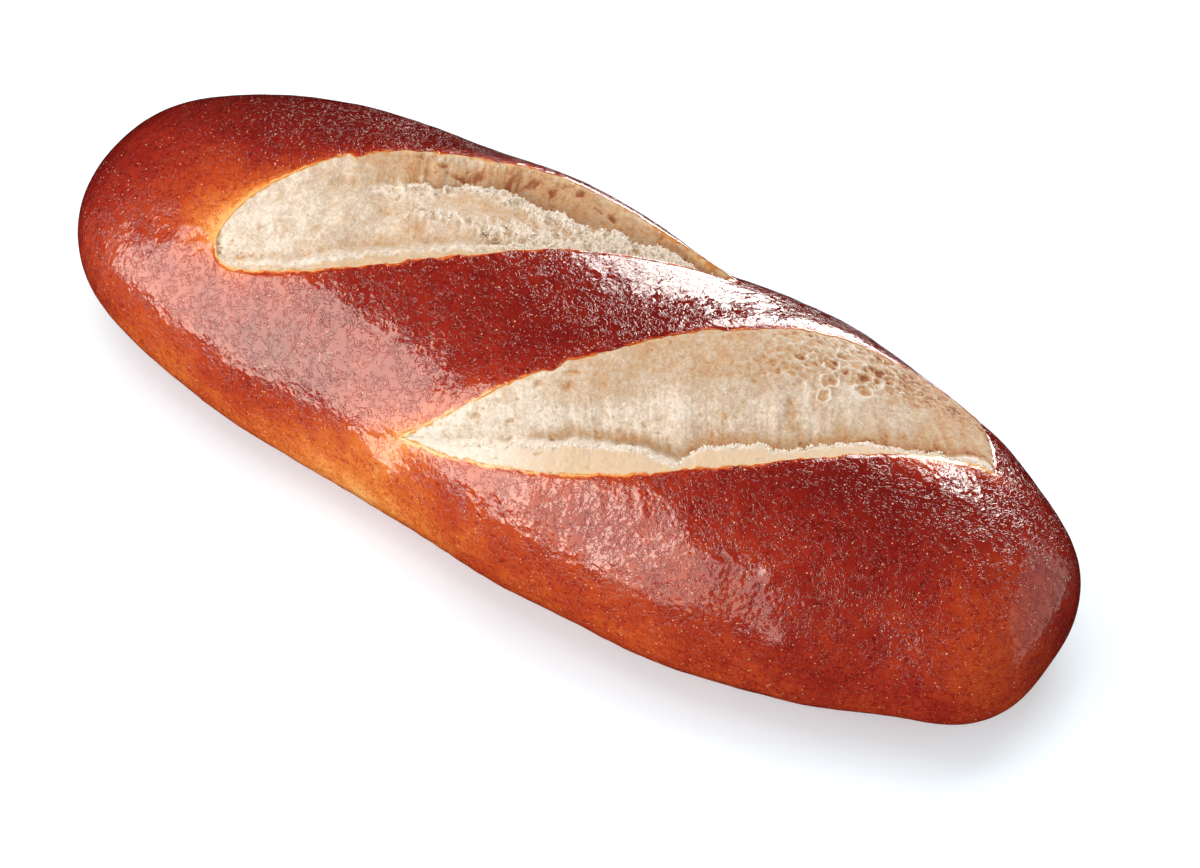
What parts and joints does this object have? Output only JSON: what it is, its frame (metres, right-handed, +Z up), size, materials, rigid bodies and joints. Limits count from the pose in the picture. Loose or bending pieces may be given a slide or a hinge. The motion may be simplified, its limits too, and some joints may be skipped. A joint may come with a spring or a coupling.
{
  "type": "pretzel roll",
  "caption": "Oval lye-baked bread roll with a glossy brown crust and two diagonal slashes burst open to pale crumb; it rests on its flattened underside.",
  "frame": {"origin": "on the table under the middle of the roll's box", "axes": "+X along the roll towards the end where the second slash closes, +Y across it towards the side both slashes run to, +Z up"},
  "size_m": [0.18, 0.0666, 0.0431],
  "materials": {
    "crust": "glossy, finely wrinkled reddish mahogany lye crust, golden orange low on the sides and at the slash tips; pale torn crumb in the two slashes"
  },
  "bodies": {
    "root": {"roll": "crust"}
  },
  "joints": []
}
